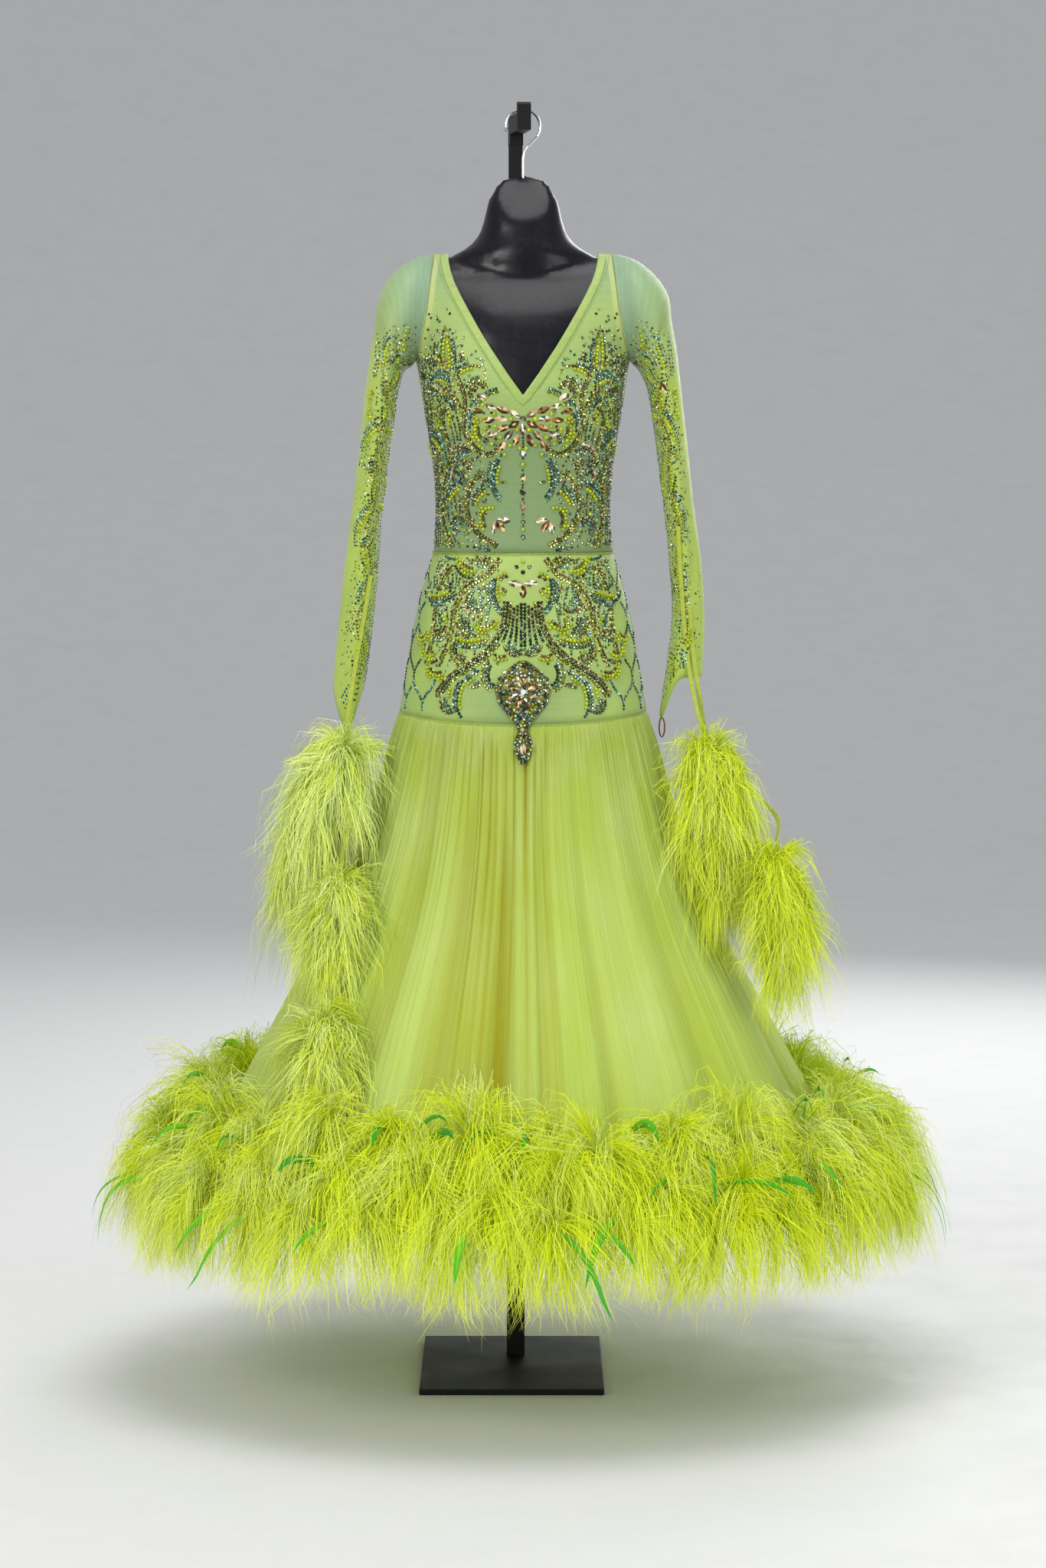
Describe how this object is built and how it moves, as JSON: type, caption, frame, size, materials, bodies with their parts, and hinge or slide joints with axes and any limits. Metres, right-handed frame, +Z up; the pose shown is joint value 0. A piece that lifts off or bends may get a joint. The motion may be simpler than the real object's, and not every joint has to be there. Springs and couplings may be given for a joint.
{
  "type": "ballroom gown on a dress form stand",
  "caption": "Long-sleeved V-neck ballroom gown with a gathered flared skirt, feather hem and feather floats, on a limbless dress form hung from a post stand.",
  "frame": {"origin": "on the floor under the gown's centre line, on the base plate's underside", "axes": "+Z up; the gown's front faces -Y; +X is towards the wearer's left"},
  "size_m": [1.1486, 1.1394, 1.7127],
  "materials": {
    "skirt_chiffon": "soft yellow-lime chiffon",
    "bodice_mesh": "lime-green stretch mesh",
    "binding_satin": "satin",
    "cord_gold": "gold cord",
    "stone_setting": "set with cut stones",
    "ostrich_feather": "soft plumes",
    "form_gloss": "black gloss",
    "hook_chrome": "polished",
    "stand_black": "black satin"
  },
  "bodies": {
    "root": {"bodice_front": "bodice_mesh", "bodice_back": "bodice_mesh", "hip_front": "bodice_mesh", "hip_back": "bodice_mesh", "skirt_front": "skirt_chiffon", "skirt_back": "skirt_chiffon", "sleeve_right": "bodice_mesh", "sleeve_left": "bodice_mesh", "finger_loop_left": "cord_gold", "neck_binding": "binding_satin", "waist_cord": "cord_gold", "pendant_applique": "stone_setting", "hem_plumes_01": "ostrich_feather", "hem_plumes_02": "ostrich_feather", "hem_plumes_03": "ostrich_feather", "hem_plumes_04": "ostrich_feather", "hem_plumes_05": "ostrich_feather", "hem_plumes_06": "ostrich_feather", "hem_plumes_07": "ostrich_feather", "hem_plumes_08": "ostrich_feather", "hem_plumes_09": "ostrich_feather", "hem_plumes_10": "ostrich_feather", "hem_plumes_11": "ostrich_feather", "hem_plumes_12": "ostrich_feather", "hem_plumes_13": "ostrich_feather", "hem_plumes_14": "ostrich_feather", "hem_plumes_15": "ostrich_feather", "hem_plumes_16": "ostrich_feather", "float_right_upper": "ostrich_feather", "float_right_middle": "ostrich_feather", "float_right_lower": "ostrich_feather", "float_left_upper": "ostrich_feather", "float_left_lower": "ostrich_feather", "strap_right": "binding_satin", "strap_left_a": "binding_satin", "strap_left_b": "binding_satin", "dress_form": "form_gloss", "hanger_hook": "hook_chrome", "stand_base": "stand_black", "stand_pole": "stand_black"}
  },
  "joints": []
}
